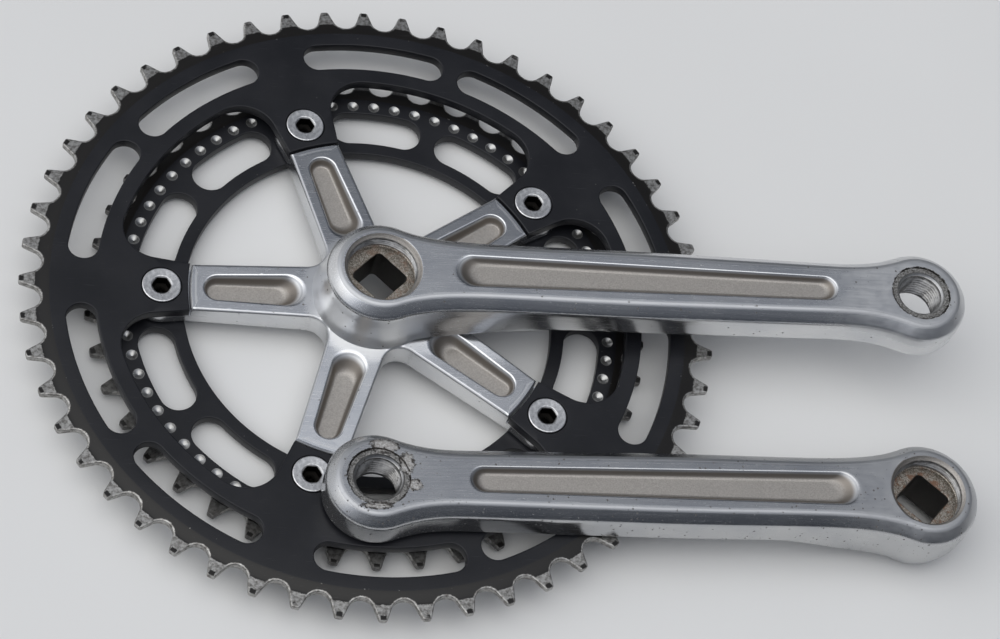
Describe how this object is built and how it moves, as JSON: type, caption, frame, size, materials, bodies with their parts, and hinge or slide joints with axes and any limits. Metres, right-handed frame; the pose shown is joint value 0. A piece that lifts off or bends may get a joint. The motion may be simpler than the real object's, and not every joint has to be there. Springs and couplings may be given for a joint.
{
  "type": "bicycle crankset",
  "caption": "Double bicycle crankset lying flat: right crank arm with five-arm spider and two toothed chainrings, and the loose left crank arm laid across them.",
  "frame": {"origin": "on the crank axis, in the plane of the table that the set lies on, which is the plane of the sleeve nuts' backs", "axes": "+Z along the crank axis, from the bicycle's middle outwards through the right arm's face; +X along the right crank arm from the spindle to the pedal"},
  "size_m": [0.2935, 0.216, 0.0359],
  "materials": {
    "polished_alloy": "polished forged aluminium, fine scratches and dull recesses",
    "black_anodised": "satin black anodised aluminium, worn bare on the teeth",
    "turned_steel": "bright turned metal"
  },
  "bodies": {
    "drive_side": {"right_crank_arm": "polished_alloy", "outer_chainring": "black_anodised", "inner_chainring": "black_anodised", "chainring_bolt_1": "turned_steel", "chainring_bolt_2": "turned_steel", "chainring_bolt_3": "turned_steel", "chainring_bolt_4": "turned_steel", "chainring_bolt_5": "turned_steel", "chainring_nut_1": "turned_steel", "chainring_nut_2": "turned_steel", "chainring_nut_3": "turned_steel", "chainring_nut_4": "turned_steel", "chainring_nut_5": "turned_steel"},
    "left_arm": {"left_crank_arm": "polished_alloy"}
  },
  "joints": [
    {"name": "left_arm_lift", "type": "slide", "parent": "drive_side", "child": "left_arm", "axis": [0, 0, 1], "range_m": [0, 0.06]}
  ]
}
